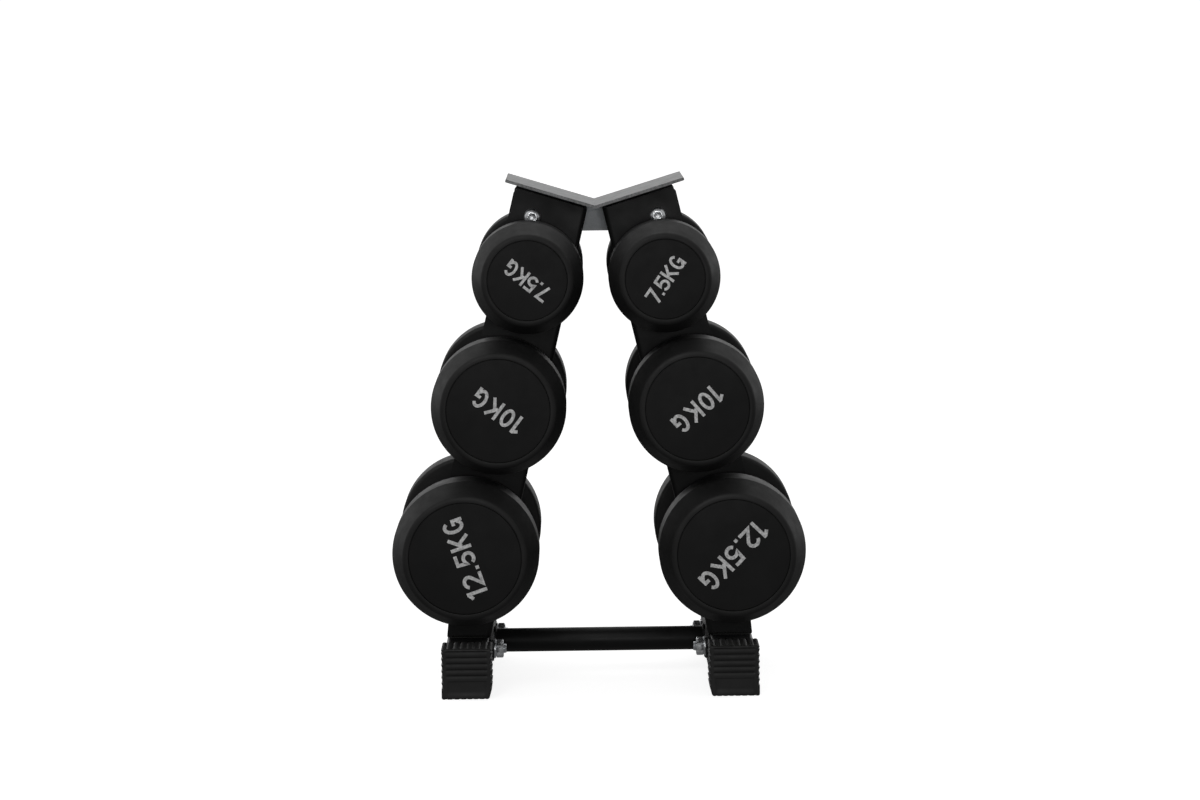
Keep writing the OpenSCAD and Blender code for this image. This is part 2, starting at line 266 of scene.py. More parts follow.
def moulded_rubber(name, dark, light, rough_low, rough_high, grain=1900, specular=0.3):
    """Black rubber with a fine grain, cloudy bloom and, where the mesh marks its edges, scuffs."""
    g = Graph(name)
    bloom = g.fit(g.noise(22, 5, 0.6), 0.4, 0.75, 0, 0.7)
    scuffed = g.combine("MULTIPLY", g.attribute("edge"), g.fit(g.noise(140, 4, 0.7), 0.42, 0.62, 0, 1))
    colour = g.blend(g.combine("MAXIMUM", bloom, scuffed), dark, light)
    rough = g.fit(g.noise(75, 4), 0.3, 0.7, rough_low, rough_high)
    skin = g.bump(g.noise(grain, 3, 0.6), 0.00008, 0.5)
    return g.done(colour, rough, g.bump(g.noise(90, 3), 0.0002, 0.12, skin), specular=specular)


def plated_steel(name, dark, light, rough_low, rough_high, grain=(1, 1, 1)):
    """Bare or plated steel with fine lines along the stretched direction and small stains."""
    g = Graph(name)
    stain = g.fit(g.noise(160, 4), 0.35, 0.65, 0, 1)
    colour = g.blend(stain, dark, light)
    lines = g.noise(1800, 2, 0.5, g.stretched(grain))
    rough = g.fit(g.combine("ADD", lines, g.noise(300, 3)), 0.7, 1.3, rough_low, rough_high)
    return g.done(colour, rough, g.bump(lines, 0.00003, 0.4), metal=1.0)


def raw_casting(name):
    g = Graph(name)
    colour = g.blend(g.noise(300, 5, 0.7), grey(0.04), (0.12, 0.1, 0.09))
    return g.done(colour, g.fit(g.noise(120, 3), 0.3, 0.7, 0.6, 0.85), g.bump(g.noise(900, 4), 0.0003, 0.7))


def silver_paint(name):
    """Filled lettering paint: slightly metallic, blotchy, dull at its edges."""
    g = Graph(name)
    colour = g.blend(g.fit(g.noise(420, 4, 0.65), 0.3, 0.7, 0, 1), grey(0.42), grey(0.98))
    rough = g.fit(g.noise(260, 3), 0.3, 0.7, 0.36, 0.55)
    return g.done(colour, rough, g.bump(g.noise(1400, 3), 0.00004, 0.5), metal=0.15)


def studio_floor(name):
    """White sweep that also glows a little, so that the rack's shadow on it stays faint."""
    g = Graph(name)
    colour = g.blend(g.noise(2.5, 3), grey(0.5), grey(0.54))
    g.shader.inputs["Emission Color"].default_value = (1, 1, 1, 1)
    g.shader.inputs["Emission Strength"].default_value = 0.84
    rough = g.fit(g.noise(12, 2), 0, 1, 0.7, 0.85)
    return g.done(colour, rough, g.bump(g.noise(300, 2), 0.0001, 0.1), specular=0.1)


BLACK_COAT = powder_coat("black_powder_coat", grey(0.006), grey(0.013, 0.02))
GREY_COAT = hammertone("grey_hammertone", grey(0.1, 0.01), grey(0.36, 0.01))
# Tie plate: the V plate's grey hammer paint with its own slight blue tint, made far paler as painted light
# for the light it lacks in its shaded place behind the uprights and under the V plate
BLUE_GREY_COAT_PAINTED_LIGHT = hammertone("blue_grey_hammertone_painted_light", grey(0.72, 0.04), grey(0.92, 0.04))
HEAD_RUBBER = moulded_rubber("head_rubber", grey(0.009), grey(0.02), 0.5, 0.62, specular=0.34)
DISC_RUBBER = moulded_rubber("disc_rubber", grey(0.006), grey(0.011), 0.5, 0.62, grain=2600, specular=0.25)
BOOT_RUBBER = moulded_rubber("boot_rubber", grey(0.012), grey(0.026), 0.5, 0.66, grain=1400, specular=0.4)
ZINC = plated_steel("bright_zinc", grey(0.68, 0.02), grey(0.95, 0.02), 0.22, 0.38)
CHROME = plated_steel("satin_chrome", grey(0.5), grey(0.66), 0.14, 0.3, grain=(6, 0.3, 6))
IRON = raw_casting("raw_iron")
SILVER = silver_paint("silver_marking")


# ---------------------------------------------------------------- dumbbell heads

SHOULDER = 28 * MM
FACE_RING = 5 * MM
DISC_GAP = 0.5 * MM
DISC_INSET = 0.8 * MM
DISC_THICK = 2.5 * MM
CORE_END = 6 * MM
STUB_R = 12.5 * MM
HEAD_SEGMENTS = 176


def mark_edges(piece, weights):
    """Stores how exposed each point is, from 0 to 1, for the scuffs of the rubber."""
    edge = piece.data.attributes.new("edge", "FLOAT", "POINT")
    edge.data.foreach_set("value", weights)


def head_profile(r, width, disc_r, core_r, core_low):
    """Closed section of a rubber head: height 0 is its inner face and the axis is at radius 0."""
    recess_r = disc_r + DISC_GAP
    ring_r = recess_r + FACE_RING
    wall = width - SHOULDER
    floor_h = width - DISC_INSET - DISC_THICK
    return rounded(
        [
            (0, floor_h, 0), (recess_r, floor_h, 0), (recess_r, width, 0.4 * MM), (ring_r, width, 5 * MM),
            (r, wall, 1 * MM), (r, 0, 4 * MM), (STUB_R + 12 * MM, 0, 1 * MM),
            (STUB_R + 10.5 * MM, 0.9 * MM, 1 * MM), (STUB_R + 3.6 * MM, 0.9 * MM, 0),
            (STUB_R + 3.6 * MM, 0, 0),
            (STUB_R, 0, 0), (STUB_R, core_low, 0), (core_r, core_low, 0), (core_r, wall - 2 * MM, 0),
            (disc_r + 2 * MM, width - CORE_END, 0), (0, width - CORE_END, 0),
        ],
        steps=7, closed=False,
    )


def head_piece(side, tier, end):
    node = f"{side}_{tier}_{end}_head"
    low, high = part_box(node)
    centre, r, width = (low + high) / 2, (high.z - low.z) / 2, high.y - low.y
    r = max(r, (high.x - low.x) / 2)
    disc_low, disc_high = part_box(f"{side}_{tier}_end_discs")
    core_low, core_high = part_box(f"{side}_{tier}_iron_cores")
    disc_r = (disc_high.x - disc_low.x) / 2
    core_r = (core_high.x - core_low.x) / 2
    outer_y = max(abs(low.y), abs(high.y))
    core_top = core_high.y - (outer_y - width)
    profile = head_profile(r, width, disc_r, core_r, core_top - core_width(side, tier))
    verts, faces = ring_mesh(turned(profile), HEAD_SEGMENTS)
    inner = Vector((centre.x, ENDS[end] * (outer_y - width), centre.z))
    piece = make_object(f"{node}_rubber", placed(verts, inner, (0, ENDS[end], 0)), faces, HEAD_RUBBER)
    mark_edges(piece, [1.0 if is_rim(v, r, width) else 0.0 for v in verts])
    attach(piece, f"{side}_{tier}_dumbbell")
    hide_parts(node)


def is_rim(v, r, width):
    """True on the two edges of the head's wall, which touch other things first."""
    radius = math.hypot(v[0], v[1])
    near_shoulder = abs(v[2] - (width - SHOULDER + 2 * MM)) < 5 * MM
    return radius > r - 3.5 * MM and (near_shoulder or v[2] < 4 * MM)


def core_width(side, tier):
    """Width of one iron core, from the CAD core's own points."""
    ys = sorted({round(abs(v.co.y), 5) for v in nodes[f"{side}_{tier}_iron_cores"].data.vertices})
    return ys[-1] - ys[0]


def disc_pieces(side, tier):
    """Both end discs of a dumbbell, as one piece with two solids."""
    node = f"{side}_{tier}_end_discs"
    low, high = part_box(node)
    centre, r = (low + high) / 2, (high.x - low.x) / 2
    profile = rounded([(0, 0, 0), (r, 0, 0), (r, DISC_THICK, 0.5 * MM), (0, DISC_THICK, 0)], closed=False)
    verts, faces = ring_mesh(turned(profile), 144)
    parts = []
    for sign in ENDS.values():
        inner = Vector((centre.x, sign * (high.y - DISC_THICK), centre.z))
        parts.append((placed(verts, inner, (0, sign, 0)), faces))
    piece = make_object(f"{node}_rubber", *join_meshes(parts), DISC_RUBBER)
    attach(piece, f"{side}_{tier}_dumbbell")
    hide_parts(node)


# ---------------------------------------------------------------- handles

KNURL_PITCH = 2 * MM
KNURL_DEPTH = 0.32 * MM
COLLAR = 11 * MM


def handle_piece(side, tier):
    """Handle with a diamond knurl between two plain collars, and a plain stub in each core."""
    node = f"{side}_{tier}_handle"
    low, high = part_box(node)
    centre, r, reach = (low + high) / 2, (high.x - low.x) / 2, high.y
    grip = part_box(f"{side}_{tier}_rear_head")[0].y
    diamonds = 2 * round(math.pi * r / KNURL_PITCH)
    segments = 2 * diamonds
    knurl_half = grip - COLLAR
    rows = 2 * round(knurl_half / KNURL_PITCH) * 2
    heights = [-knurl_half + 2 * knurl_half * i / rows for i in range(rows + 1)]
    collar = [
        (0, -reach), (STUB_R - 1 * MM, -reach), (STUB_R, -reach + 1 * MM), (STUB_R, -grip),
        (r - 0.6 * MM, -grip),
        (r, -grip + 0.6 * MM), (r, -knurl_half - 1.2 * MM), (r - 0.3 * MM, -knurl_half - 0.6 * MM),
    ]
    profile = collar + [(r - 0.05 * MM, h) for h in heights] + [(q, -h) for q, h in reversed(collar)]
    verts, faces = ring_mesh(turned(profile), segments)
    first = 1 + (len(collar) - 1) * segments
    for row in range(len(heights)):
        for k in range(segments):
            if (row + k) % 2 or row in (0, len(heights) - 1):
                i = first + row * segments + k
                shrink = 1 - KNURL_DEPTH / r
                verts[i] = (verts[i][0] * shrink, verts[i][1] * shrink, verts[i][2])
    piece = make_object(f"{node}_steel", placed(verts, centre, (0, 1, 0)), faces, CHROME, smooth=12)
    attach(piece, f"{side}_{tier}_dumbbell")
    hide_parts(node)


# ---------------------------------------------------------------- weight numerals

STROKE = 0.165
MARK_RAISE = 0.3 * MM
# Text, height and length of each weight mark
MARKS = {
    "upper": ("7.5KG", 16.5 * MM, 51.5 * MM),
    "middle": ("10KG", 20 * MM, 57 * MM),
    "lower": ("12.5KG", 21.5 * MM, 84.5 * MM),
}
# Direction in which each front mark reads, in degrees anticlockwise from +X, as the dumbbells happen to lie
READING = {
    ("left", "upper"): 141, ("right", "upper"): 55.5, ("left", "middle"): 143,
    ("right", "middle"): 221, ("left", "lower"): 109, ("right", "lower"): 226,
}


def arc(cx, cy, rx, ry, start, stop, steps=14):
    angles = [math.radians(start + (stop - start) * i / steps) for i in range(steps + 1)]
    return [(cx + rx * math.cos(t), cy + ry * math.sin(t)) for t in angles]


def glyph(letter):
    """Centre lines of one character's strokes, for a height of 1, and its width."""
    s = STROKE / 2
    if letter == "0":
        return [arc(0.315, 0.5, 0.315 - s, 0.5 - s, 90, 450, 32)], 0.63
    if letter == "1":
        return [[(0.37 - s, 0), (0.37 - s, 1)], [(0.02, 0.76), (0.33 - s, 0.92)]], 0.37
    if letter == "2":
        bowl = arc(0.33, 0.69, 0.33 - s, 0.31 - s, 165, -35, 18)
        return [bowl + [(0.09, s), (0.68, s)]], 0.68
    if letter == "5":
        bowl = arc(0.32, 0.33, 0.34 - s, 0.33 - s, 128, -150, 20)
        return [[(0.61, 1 - s), (0.13, 1 - s), (0.1, 0.49)] + bowl], 0.66
    if letter == "7":
        return [[(0, 1 - s), (0.56, 1 - s), (0.22, 0)]], 0.6
    if letter == "K":
        return [[(s, 0), (s, 1)], [(0.62, 0.98), (0.16, 0.42)], [(0.27, 0.56), (0.64, 0.02)]], 0.7
    if letter == "G":
        bowl = arc(0.34, 0.5, 0.34 - s, 0.5 - s, 42, 325, 26)
        return [bowl, [(0.36, 0.46), (0.68 - s, 0.46), (0.68 - s, 0)]], 0.68
    return [[(s, 0), (s, STROKE)]], STROKE


def ribbon(points, half, raise_h, base):
    """Closed solid of a flat stroke that follows points, with square ends and mitred turns."""
    loop = (Vector(points[0]) - Vector(points[-1])).length < 1e-6
    line = [Vector(p) for p in (points[:-1] if loop else points)]
    n = len(line)
    left, right = [], []
    for i, p in enumerate(line):
        before = (p - line[i - 1]).normalized() if i or loop else None
        after = (line[(i + 1) % n] - p).normalized() if i < n - 1 or loop else None
        before, after = before or after, after or before
        normal = Vector((-(before + after).y, (before + after).x)).normalized()
        reach = half / max(0.45, normal.dot(Vector((-after.y, after.x))))
        left.append(p + normal * reach)
        right.append(p - normal * reach)
    verts = [(*p, h) for h in (base, raise_h) for p in left + right]
    faces = []
    count = n if loop else n - 1
    for i in range(count):
        a, b = i, (i + 1) % n
        la, lb, ra, rb = a, b, n + a, n + b
        up = 2 * n
        faces += [
            (la + up, ra + up, rb + up, lb + up), (la, lb, rb, ra),
            (la, la + up, lb + up, lb), (ra, rb, rb + up, ra + up),
        ]
    if not loop:
        up, e = 2 * n, n - 1
        faces += [(0, n, n + up, up), (e, e + up, n + e + up, n + e)]
    return verts, faces


def mark_piece(side, tier, end):
    """Raised weight numerals on one end disc, made of plain strokes of one width."""
    text, height, length = MARKS[tier]
    glyphs = [glyph(c) for c in text]
    gap = (length / height - sum(w for _, w in glyphs)) / (len(text) - 1)
    parts, x = [], -length / height / 2
    for strokes, width in glyphs:
        for k, line in enumerate(strokes):
            moved = [((px + x) * height, (py - 0.5) * height) for px, py in line]
            top = MARK_RAISE - 0.03 * MM * k
            parts.append(ribbon(moved, STROKE / 2 * height, top, -0.2 * MM))
        x += width + gap
    verts, faces = join_meshes(parts)
    low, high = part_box(f"{side}_{tier}_end_discs")
    centre = (low + high) / 2
    angle = math.radians(READING[side, tier] if end == "front" else 180 - READING[side, tier])
    sign = ENDS[end]
    along = Vector((math.cos(angle) * -sign, 0, math.sin(angle)))
    out = Vector((0, sign, 0))
    up = out.cross(along)
    face = Vector((centre.x, sign * high.y, centre.z))
    verts = [face + along * v[0] + up * v[1] + out * v[2] for v in verts]
    piece = make_object(f"{side}_{tier}_{end}_mark", verts, faces, SILVER)
    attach(piece, f"{side}_{tier}_dumbbell")


# ---------------------------------------------------------------- fasteners

THREAD_R = 5 * MM
THREAD_PITCH = 1.4 * MM
THREAD_END = 3 * MM
HOLE_R = 5.25 * MM
SPACER_R = 8 * MM
BOLT_HEAD = 5.5 * MM
KEY_R = 3.1 * MM
NUT_H = 8 * MM
NUT_FLAT = 8.45 * MM


def button_screw(head_r, length):
    """Button-head socket screw: the head rises along +Z from 0 and the shank runs to -length."""
    shank = THREAD_R - 0.05 * MM
    tip = [(0, -length), (THREAD_R - 0.9 * MM, -length), (THREAD_R - 0.2 * MM, -length + 0.8 * MM)]
    thread = []
    for i in range(10):
        h = -length + 1.4 * MM + i * THREAD_PITCH
        thread += [(THREAD_R - 0.55 * MM, h), (shank, h + THREAD_PITCH / 2)]
    top = rounded(
        [
            (shank, 0, 0), (head_r, 0, 0.2 * MM), (head_r, BOLT_HEAD * 0.3, 0.8 * MM),
            (head_r * 0.84, BOLT_HEAD * 0.72, 2.4 * MM), (KEY_R * 1.6, BOLT_HEAD, 1.2 * MM),
            (KEY_R * 1.3, BOLT_HEAD, 0),
        ],
        steps=5, closed=False,
    )
    rings = turned(tip + thread + [(shank, -length + 17 * MM)] + [tuple(p) for p in top])
    rings += [(KEY_R * 1.05, BOLT_HEAD - 0.35 * MM, "hex"), (KEY_R, BOLT_HEAD - 0.6 * MM, "hex")]
    rings += [(KEY_R, BOLT_HEAD * 0.42, "hex"), (0, BOLT_HEAD * 0.3, "round")]
    return ring_mesh(rings, 72)


def flat_washer(outer_r, thick):
    profile = rounded(
        [(HOLE_R, 0, 0), (outer_r, 0, 0.3 * MM), (outer_r, thick, 0.4 * MM), (HOLE_R, thick, 0.2 * MM)],
        steps=3,
    )
    return ring_mesh(turned(profile), 72, loop=True)


def hex_nut(height):
    """Nut with both faces chamfered."""
    chamfer = 0.9 * MM
    rings = [
        (THREAD_R, 0, "round"), (NUT_FLAT * 0.97, 0, "round"), (NUT_FLAT, chamfer, "hex"),
        (NUT_FLAT, height - chamfer, "hex"), (NUT_FLAT * 0.97, height, "round"),
        (THREAD_R + 0.5 * MM, height, "round"), (THREAD_R, height - 0.5 * MM, "round"),
    ]
    return ring_mesh(rings, 72, loop=True)


def fastener_piece(node, parts):
    piece = make_object(f"{node}_zinc", *join_meshes(parts), ZINC, smooth=28)
    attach(piece, "rack")
    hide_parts(node)


def top_fasteners():
    """Two through-bolts at the top: heads in front, washers and nuts behind, spacers between."""
    bolt_low, bolt_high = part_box("top_bolts")
    nut_low, nut_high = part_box("top_nuts")
    washer_low, washer_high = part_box("top_washers")
    spacer_low, spacer_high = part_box("top_spacers")
    head_r = (bolt_high.z - bolt_low.z) / 2
    washer_r = (washer_high.z - washer_low.z) / 2
    x, z = bolt_high.x - head_r, (bolt_low.z + bolt_high.z) / 2
    front = bolt_low.y + BOLT_HEAD
    gap = spacer_high.y - spacer_low.y
    tube = rounded(
        [(HOLE_R, 0, 0), (SPACER_R, 0, 0.3 * MM), (SPACER_R, gap, 0.3 * MM), (HOLE_R, gap, 0)], steps=3
    )
    kinds = {
        "bolts": (front, -1, button_screw(head_r, bolt_high.y - front)),
        "washers": (washer_low.y, 1, flat_washer(washer_r, washer_high.y - washer_low.y)),
        "nuts": (nut_low.y, 1, hex_nut(nut_high.y - nut_low.y)),
        "spacers": (spacer_low.y, 1, ring_mesh(turned(tube), 48, loop=True)),
    }
    for kind, (y, way, (verts, faces)) in kinds.items():
        pair = [(placed(verts, Vector((sign * x, y, z)), (0, way, 0)), faces) for sign in SIDES.values()]
        fastener_piece(f"top_{kind}", pair)


def base_fasteners():
    """Four bolts put in from inside the base tubes, with washers and nuts on the crossbar's flanges."""
    bolt_low, bolt_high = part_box("base_bolts")
    washer_low, washer_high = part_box("base_washers")
    nut_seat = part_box("base_nuts")[1].x
    head_r = (bolt_high.z - bolt_low.z) / 2
    z, y = (bolt_low.z + bolt_high.z) / 2, bolt_high.y - head_r
    seat = bolt_high.x - BOLT_HEAD
    washer_t = washer_high.x - nut_seat
    kinds = {
        "bolts": (seat, 1, button_screw(head_r, seat - (nut_seat - NUT_H - THREAD_END))),
        "washers": (nut_seat, 1, flat_washer((washer_high.z - washer_low.z) / 2, washer_t)),
        "nuts": (nut_seat, -1, hex_nut(NUT_H)),
    }
    for kind, (x, way, (verts, faces)) in kinds.items():
        four = [
            (placed(verts, Vector((sign * x, end * y, z)), (sign * way, 0, 0)), faces)
            for sign in SIDES.values() for end in ENDS.values()
        ]
        fastener_piece(f"base_{kind}", four)


# ---------------------------------------------------------------- rubber boots

ROW_PITCH = 6.3 * MM
RIB_PITCH = 7 * MM
GROOVE_HALF = 1.5 * MM
GROOVE_DEPTH = 1.1 * MM
TOOTH_TIP = 1.1 * MM
TOOTH_DEPTH = 1.7 * MM
TOOTH_REACH = 3.3 * MM
BOOT_R = 2 * MM
PANEL_HALF = 19 * MM
PANEL_DEPTH = 0.5 * MM
PANEL_RISE = (5 * MM, 6 * MM)
PANEL_TOP = (18.4 * MM, 19.4 * MM)
SOLE_NOTCH = 0.8 * MM
INNER_RUN = 3.3 * MM
INNER_RUN_TOP = 12 * MM
BOOT_END = 3 * MM


def groove(t, centres):
    """Depth of a row of round-bottomed grooves at t, from 0 to 1."""
    near = min(abs(t - c) for c in centres)
    return math.cos(near / GROOVE_HALF * math.pi / 2) ** 2 if near < GROOVE_HALF else 0.0


def ramp(t, start, end):
    """0 up to start, 1 from end on."""
    return min(1.0, max(0.0, (t - start) / (end - start)))


def tooth(z, rows):
    """Depth of the side teeth at z, from 0 to 1: a valley at each row, a tip just below it."""
    if z >= rows[0]:
        return 1 - ramp(z, rows[0], rows[0] + GROOVE_HALF)
    above = min(r for r in rows if r >= z - 1e-9)
    fall = above - z
    if fall <= TOOTH_TIP:
        return 1 - fall / TOOTH_TIP
    return 0.0 if above == rows[-1] else ramp(fall, TOOTH_TIP, ROW_PITCH)


def grid_lines(low, high, centres, extra=()):
    """Grid positions: fine at both rounded ends and across each groove."""
    ends = [BOOT_R * (1 - math.cos(a * math.pi / 10)) for a in range(6)]
    lines = {round(v, 6) for v in [low + e for e in ends] + [high - e for e in ends]}
    for c in centres:
        lines |= {round(c + GROOVE_HALF * k / 2, 6) for k in range(-2, 3)}
    lines |= {round(v, 6) for v in extra}
    return sorted(v for v in lines if low - 1e-9 <= v <= high + 1e-9)


def boot_piece(side, end):
    """Moulded rubber boot: a rounded block with grooves and a socket for the tube."""
    node = f"{side}_{end}_boot"
    low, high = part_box(node)
    tube_low, tube_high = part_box(f"{side}_base_tube")
    size = (high.x - low.x, high.y - low.y, high.z - low.z)
    width, depth, height = size
    half = width / 2
    rows = [round(height - 3 * MM - ROW_PITCH * i, 6) for i in range(7)]
    ribs = [RIB_PITCH * k for k in range(-3, 4)]
    socket_x, socket_low = (tube_high.x - tube_low.x) / 2, tube_low.z
    socket_high, socket_y = tube_high.z, depth - BOOT_END
    xs = grid_lines(-half, half, ribs, (-socket_x, socket_x, -PANEL_HALF, PANEL_HALF))
    tips = [r - TOOTH_TIP for r in rows] + [r - ROW_PITCH / 2 for r in rows]
    zs = grid_lines(0, height, rows, [socket_low, socket_high, *PANEL_RISE, *PANEL_TOP, *tips])
    ys = grid_lines(0, depth, (), [1.5 * MM, 3 * MM, 4.5 * MM] + [depth * k / 6 for k in range(1, 6)])
    index, verts, faces = {}, [], []

    def vertex(x, y, z):
        key = (x, y, z)
        if key not in index:
            index[key] = len(verts)
            verts.append(boot_point(x, y, z, size, rows, ribs))
        return index[key]

    def panel(rows_u, rows_v, place, skip=None):
        for u0, u1 in zip(rows_u, rows_u[1:]):
            for v0, v1 in zip(rows_v, rows_v[1:]):
                if skip and skip((u0 + u1) / 2, (v0 + v1) / 2):
                    continue
                faces.append(tuple(vertex(*place(u, v)) for u, v in ((u0, v0), (u1, v0), (u1, v1), (u0, v1))))

    def in_socket(x, z):
        return abs(x) < socket_x and socket_low < z < socket_high

    panel(xs, zs, lambda x, z: (x, 0.0, z))
    panel(zs, xs, lambda z, x: (x, depth, z), skip=lambda z, x: in_socket(x, z))
    panel(zs, ys, lambda z, y: (-half, y, z))
    panel(ys, zs, lambda y, z: (half, y, z))
    panel(ys, xs, lambda y, x: (x, y, 0.0))
    panel(xs, ys, lambda x, y: (x, y, height))
    rim_x = [x for x in xs if abs(x) <= socket_x]
    rim_z = [z for z in zs if socket_low <= z <= socket_high]
    mouth = (
        [(x, socket_low) for x in rim_x] + [(socket_x, z) for z in rim_z[1:]]
        + [(x, socket_high) for x in reversed(rim_x[:-1])] + [(-socket_x, z) for z in reversed(rim_z[1:-1])]
    )
    outer = [vertex(x, depth, z) for x, z in mouth]
    inner = []
    for x, z in mouth:
        inner.append(len(verts))
        verts.append((x, depth - socket_y, z))
    n = len(mouth)
    for i in range(n):
        faces.append((outer[i], outer[(i + 1) % n], inner[(i + 1) % n], inner[i]))
    faces.append(tuple(inner))

    sign_x, sign_y = SIDES[side], ENDS[end]
    centre_x = abs(tube_low.x + tube_high.x) / 2
    edge_y = max(abs(low.y), abs(high.y))
    moved = [(sign_x * (centre_x + x), sign_y * (edge_y - y), z) for x, y, z in verts]
    if sign_x * sign_y > 0:
        faces = [tuple(reversed(f)) for f in faces]
    piece = make_object(f"{node}_rubber", moved, faces, BOOT_RUBBER, smooth=40)
    mark_edges(piece, [boot_edge(v, half, height) for v in verts])
    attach(piece, "rack")
    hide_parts(node)


def boot_edge(v, half, height):
    corner = max(abs(v[0]) - half + 3 * MM, 0) * max(3 * MM - v[1], 0)
    top = max(v[2] - height + 3 * MM, 0) * max(3 * MM - v[1], 0)
    return min(1.0, (corner + top) / (2 * MM) ** 2)


def boot_point(x, y, z, block, rows, ribs):
    """A point of the boot's skin, from a point of its bounding block.

    +X is its outer side and y = 0 its end face."""
    half, depth, height = block[0] / 2, block[1], block[2]
    size = (half, depth / 2, height / 2)
    q = (x, y - depth / 2, z - height / 2)
    core = [max(-s + BOOT_R, min(s - BOOT_R, c)) for c, s in zip(q, size)]
    away = Vector([c - k for c, k in zip(q, core)])
    if away.length > 1e-9:
        q = Vector(core) + away.normalized() * BOOT_R
    px, py, pz = q[0], q[1] + depth / 2, q[2] + height / 2
    behind_end = ramp(y, 3 * MM, 4.5 * MM)
    if y == 0:
        py += GROOVE_DEPTH * groove(z, rows[:5]) * ramp(half - abs(x), 4.5 * MM, 6 * MM)
        panel = ramp(PANEL_HALF + 1 * MM - abs(x), 0, 1 * MM) * ramp(z, *PANEL_RISE)
        py += PANEL_DEPTH * panel * (1 - ramp(z, *PANEL_TOP))
    px -= math.copysign(TOOTH_DEPTH * tooth(z, rows) * ramp(abs(x), half - TOOTH_REACH, half), x)
    if z == height:
        pz -= GROOVE_DEPTH * groove(x, ribs) * behind_end
    if z == 0:
        pz += SOLE_NOTCH * groove(x, ribs) * (1 - ramp(y, 2 * MM, 5 * MM))
    if x < 0:
        px += INNER_RUN * (1 - ramp(z, 0, INNER_RUN_TOP)) * abs(x) / half
    return (px, py, pz)


# ---------------------------------------------------------------- frame


def dress(node, material, bevel=0.5 * MM, angle=30):
    """Gives a CAD node its material, joins its split edges and rounds them by a sheet-metal radius."""
    part = nodes[node]
    part.data.materials.clear()
    part.data.materials.append(material)
    weld = part.modifiers.new("weld", "WELD")
    weld.merge_threshold = 0.00001
    if bevel:
        edge = part.modifiers.new("edge_radius", "BEVEL")
        edge.width = bevel
        edge.segments = 3
        edge.limit_method = "ANGLE"
        edge.angle_limit = math.radians(angle)
        edge.harden_normals = False
        edge.use_clamp_overlap = True


def weld_bead(name, points, radius):
    """A fillet weld along straight lines between points: a ripple of small overlapping beads."""
    rng = random.Random(name)
    path = []
    for a, b in zip(points, points[1:]):
        a, b = Vector(a), Vector(b)
        count = max(2, round((b - a).length / (0.9 * MM)))
        path += [a.lerp(b, i / count) for i in range(count)]
    path.append(Vector(points[-1]))
    sides = 8
    verts, faces = [], []
    for i, p in enumerate(path):
        along = (path[min(i + 1, len(path) - 1)] - path[max(i - 1, 0)]).normalized()
        across = along.cross(Vector((0, 0, 1)))
        across = across.normalized() if across.length > 0.1 else Vector((1, 0, 0))
        up = across.cross(along)
        ripple = radius * (0.86 + 0.14 * math.cos(i * math.pi * 0.66) + rng.uniform(-0.04, 0.04))
        if i in (0, len(path) - 1):
            ripple *= 0.45
        for k in range(sides):
            t = 2 * math.pi * k / sides
            verts.append(p + across * ripple * math.cos(t) + up * ripple * math.sin(t))
    for i in range(len(path) - 1):
        for k in range(sides):
            a, b = i * sides + k, i * sides + (k + 1) % sides
            faces.append((a, b, b + sides, a + sides))
    faces.append(tuple(reversed(range(sides))))
    faces.append(tuple(range(len(verts) - sides, len(verts))))
    piece = make_object(name, verts, faces, BLACK_COAT, smooth=80)
    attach(piece, "rack")


def frame_pieces():
    for node in ("left_upright", "right_upright", "left_base_tube", "right_base_tube",
                 "left_bar_flange", "right_bar_flange", "crossbar"):
        dress(node, BLACK_COAT)
    dress("v_plate", GREY_COAT)
    # The tie plate's paler coat is painted light for its shaded place, not a lighter paint
    dress("tie_plate", BLUE_GREY_COAT_PAINTED_LIGHT)
    for side in SIDES:
        for tier in TIERS:
            dress(f"{side}_{tier}_iron_cores", IRON, bevel=0)


# Distances from the middle between which the uprights' feet are welded to the base tubes
FOOT_WELD = (118 * MM, 156 * MM)


def weld_pieces():
    """Fillet welds at the feet of the uprights and at the ends of the crossbar."""
    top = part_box("right_base_tube")[1].z
    bar_low, bar_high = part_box("crossbar")
    bar_r = (bar_high.z - bar_low.z) / 2 + 0.6 * MM
    bar_z = (bar_high.z + bar_low.z) / 2
    for side, sign in SIDES.items():
        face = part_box(f"{side}_upright")[1].y + 0.4 * MM
        for end, way in ENDS.items():
            line = [(sign * x, way * face, top) for x in FOOT_WELD]
            weld_bead(f"{side}_{end}_upright_weld", line, 2.2 * MM)
        circle = [
            (sign * (bar_high.x - 0.5 * MM), bar_r * math.cos(t), bar_z + bar_r * math.sin(t))
            for t in [2 * math.pi * k / 36 for k in range(37)]
        ]
        weld_bead(f"{side}_bar_weld", circle, 1.9 * MM)


# ---------------------------------------------------------------- assembly

for side_name in SIDES:
    for tier_name in TIERS:
        for end_name in ENDS:
            head_piece(side_name, tier_name, end_name)
            mark_piece(side_name, tier_name, end_name)
        disc_pieces(side_name, tier_name)
        handle_piece(side_name, tier_name)
    for end_name in ENDS:
        boot_piece(side_name, end_name)
top_fasteners()
base_fasteners()
frame_pieces()
weld_pieces()


# ---------------------------------------------------------------- stage, light and camera


# Brightness of the sky in each direction
SKY_FRONT = 0.2
SKY_BEHIND = 1.05
SKY_ABOVE = 0.42
SKY_BELOW = 0.12


def stage_floor():
    verts, faces = [], []
    half, cells = 40.0, 8
    for i in range(cells + 1):
        for j in range(cells + 1):
            verts.append((-half + 2 * half * i / cells, -half + 2 * half * j / cells, 0))
    for i in range(cells):
        for j in range(cells):
            a = i * (cells + 1) + j
            faces.append((a, a + cells + 1, a + cells + 2, a + 1))
    floor = make_object("floor", verts, faces, studio_floor("studio_floor"))
    floor.visible_diffuse = False
    floor.visible_glossy = False
    floor.visible_shadow = False


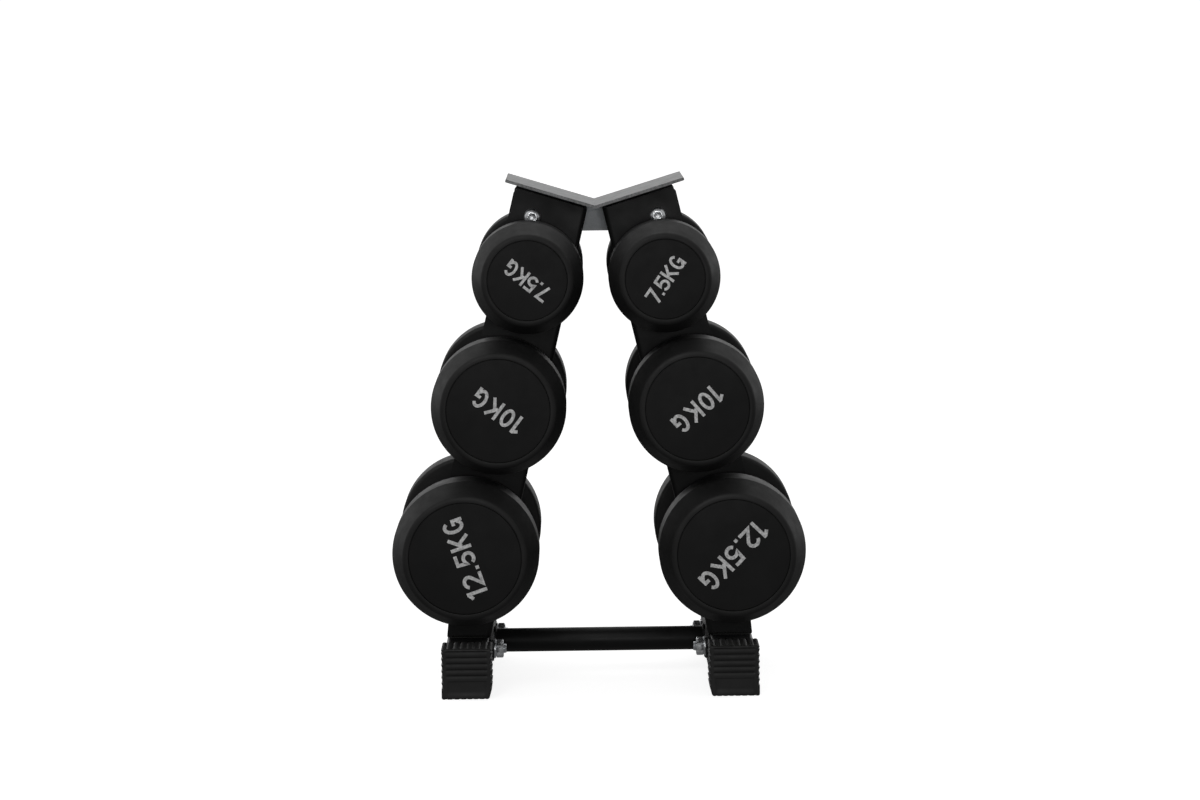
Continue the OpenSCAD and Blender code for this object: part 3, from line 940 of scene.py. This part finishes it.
def soft_light(name, place, target, size, power):
    light = bpy.data.lights.new(name, "AREA")
    light.shape = "RECTANGLE"
    light.size, light.size_y = size
    light.energy = power
    lamp = bpy.data.objects.new(name, light)
    lamp.location = place
    lamp.rotation_euler = (Vector(target) - Vector(place)).to_track_quat("-Z", "Y").to_euler()
    bpy.context.scene.collection.objects.link(lamp)


def studio():
    """A soft sky that is bright behind the rack, dim in front of it and dark under it."""
    world = bpy.data.worlds.new("studio")
    bpy.context.scene.world = world
    world.use_nodes = True
    tree = world.node_tree
    backdrop = tree.nodes["Background"]
    split = tree.nodes.new("ShaderNodeSeparateXYZ")
    place = tree.nodes.new("ShaderNodeTexCoord")
    tree.links.new(place.outputs["Generated"], split.inputs["Vector"])

    def along(axis, start, end, low, high):
        node = tree.nodes.new("ShaderNodeMapRange")
        node.interpolation_type = "SMOOTHSTEP"
        for key, value in zip(("From Min", "From Max", "To Min", "To Max"), (start, end, low, high)):
            node.inputs[key].default_value = value
        tree.links.new(split.outputs[axis], node.inputs["Value"])
        return node.outputs["Result"]

    def blend(factor, a, b):
        node = tree.nodes.new("ShaderNodeMix")
        for socket, value in zip((node.inputs[0], node.inputs[2], node.inputs[3]), (factor, a, b)):
            if isinstance(value, (int, float)):
                socket.default_value = value
            else:
                tree.links.new(value, socket)
        return node.outputs[0]

    horizon = blend(along("Y", -0.9, 1, 0, 1), SKY_FRONT, SKY_BEHIND)
    sky = blend(along("Z", 0.05, 0.8, 0, 1), horizon, SKY_ABOVE)
    level = blend(along("Z", -0.07, -0.03, 0, 1), SKY_BELOW, sky)
    tree.links.new(level, backdrop.inputs["Strength"])
    backdrop.inputs["Color"].default_value = (1, 1, 1, 1)
    soft_light("top_light", (0.1, 0.9, 2.6), (0, 0, 0.3), (1.6, 0.9), 6)
    soft_light("key_light", (-0.9, -2.2, 2.1), (0, 0, 0.3), (1, 0.8), 12)
    soft_light("fill_light", (0.1, -3.0, 0.6), (0, 0, 0.4), (0.5, 0.5), 5.5)
    bpy.context.scene.view_settings.view_transform = "Standard"


def photo_camera():
    """The photographed view: a long lens from the front, a little above the rack."""
    data = bpy.data.cameras.new("camera")
    data.lens = 90
    data.sensor_width = 36
    data.clip_end = 200
    camera = bpy.data.objects.new("camera", data)
    yaw, pitch, roll = (math.radians(a) for a in (0.45, 7.49, -0.65))
    forward = Vector((math.sin(yaw) * math.cos(pitch), math.cos(yaw) * math.cos(pitch), -math.sin(pitch)))
    right = Vector((math.cos(yaw), -math.sin(yaw), 0))
    up = right.cross(forward)
    right, up = (
        math.cos(roll) * right + math.sin(roll) * up,
        math.cos(roll) * up - math.sin(roll) * right,
    )
    turn = Matrix((right, up, -forward)).transposed().to_4x4()
    camera.matrix_world = Matrix.Translation((-0.0211, -3.1145, 0.7027)) @ turn
    bpy.context.scene.collection.objects.link(camera)
    bpy.context.scene.camera = camera


stage_floor()
studio()
photo_camera()

bpy.context.view_layer.update()


def corners(bounds):
    return [[float(v) for v in point] for point in bounds]
